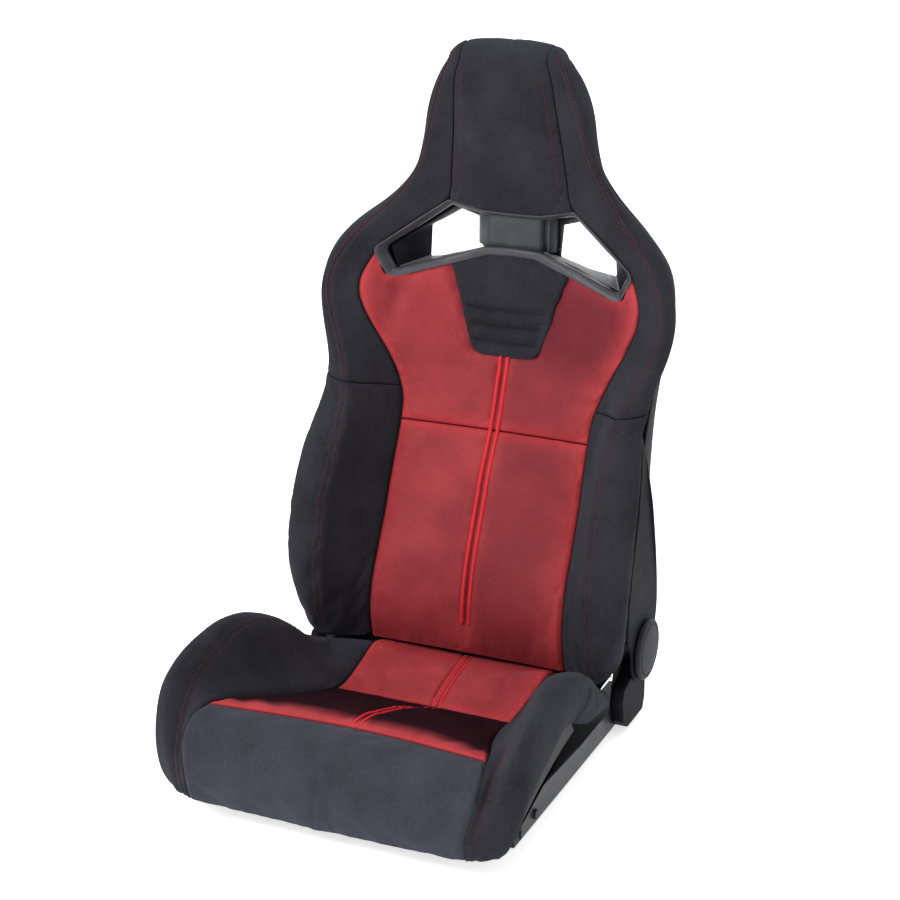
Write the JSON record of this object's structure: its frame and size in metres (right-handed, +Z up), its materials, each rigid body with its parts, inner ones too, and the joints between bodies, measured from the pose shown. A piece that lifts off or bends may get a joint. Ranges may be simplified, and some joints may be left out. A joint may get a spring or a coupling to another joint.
{
  "type": "reclining racing seat",
  "caption": "Winged reclining racing seat: padded bucket cushion and backrest, fixed headrest, two harness openings and a handwheel recliner on bolt-down rails.",
  "frame": {"origin": "centre of the four base bolt holes, on the underside of the rails", "axes": "+X to the left hand of a person sitting in the seat, -Y the way the sitter faces, +Z up"},
  "size_m": [0.5442, 0.6801, 0.951],
  "materials": {
    "frame_paint": "black powder coat",
    "zinc_steel": "bright zinc plated",
    "trim_plastic": "fine grained, satin",
    "shell_plastic": "grained black",
    "red_cloth": "satin woven red cloth",
    "black_suede": "short-nap microfibre suede"
  },
  "bodies": {
    "base": {"rail_left": "frame_paint", "rail_right": "frame_paint", "front_cross_tube": "frame_paint", "rear_cross_tube": "frame_paint", "base_side_left": "frame_paint", "base_side_right": "frame_paint", "seat_pan": "frame_paint", "pan_springs": "zinc_steel", "recliner_fixed_left": "zinc_steel", "recliner_fixed_right": "zinc_steel", "recliner_cover_left": "trim_plastic", "recliner_cover_right": "trim_plastic", "side_valance_left": "trim_plastic", "side_valance_right": "trim_plastic", "mount_nuts": "zinc_steel", "frame_bolts": "zinc_steel", "cushion_rear": "red_cloth", "cushion_front": "red_cloth", "cushion_nose": "black_suede", "cushion_bolster_left": "black_suede", "cushion_bolster_right": "black_suede"},
    "backrest": {"back_arm_left": "frame_paint", "back_arm_right": "frame_paint", "recliner_moving_left": "zinc_steel", "recliner_moving_right": "zinc_steel", "back_hoop": "frame_paint", "back_lower_tube": "frame_paint", "head_hoop": "frame_paint", "lumbar_wires": "zinc_steel", "back_shell": "shell_plastic", "side_cover_left": "trim_plastic", "side_cover_right": "trim_plastic", "shell_screws": "frame_paint", "back_insert_lower": "red_cloth", "back_insert_upper": "red_cloth", "shoulder_patch": "black_suede", "back_bolster_left": "black_suede", "back_bolster_right": "black_suede", "shoulder_wing_left": "black_suede", "shoulder_wing_right": "black_suede", "head_pad": "black_suede", "head_side_left": "black_suede", "head_side_right": "black_suede", "harness_bezel": "trim_plastic", "harness_duct_left": "shell_plastic", "harness_duct_right": "shell_plastic", "centre_post": "trim_plastic"},
    "drive": {"cross_shaft": "zinc_steel", "handwheel_left": "trim_plastic", "handwheel_right": "trim_plastic"}
  },
  "joints": [
    {"name": "recline", "type": "hinge", "parent": "base", "child": "backrest", "pos_m": [0, 0.205, 0.113], "axis": [-1, 0, 0], "range_deg": [-6, 45]},
    {"name": "drive_turn", "type": "hinge", "parent": "base", "child": "drive", "pos_m": [0, 0.205, 0.113], "axis": [-1, 0, 0], "range_deg": [-216, 1620]}
  ],
  "couplings": [
    {"joint": "drive_turn", "follows": "recline", "ratio": 36}
  ]
}
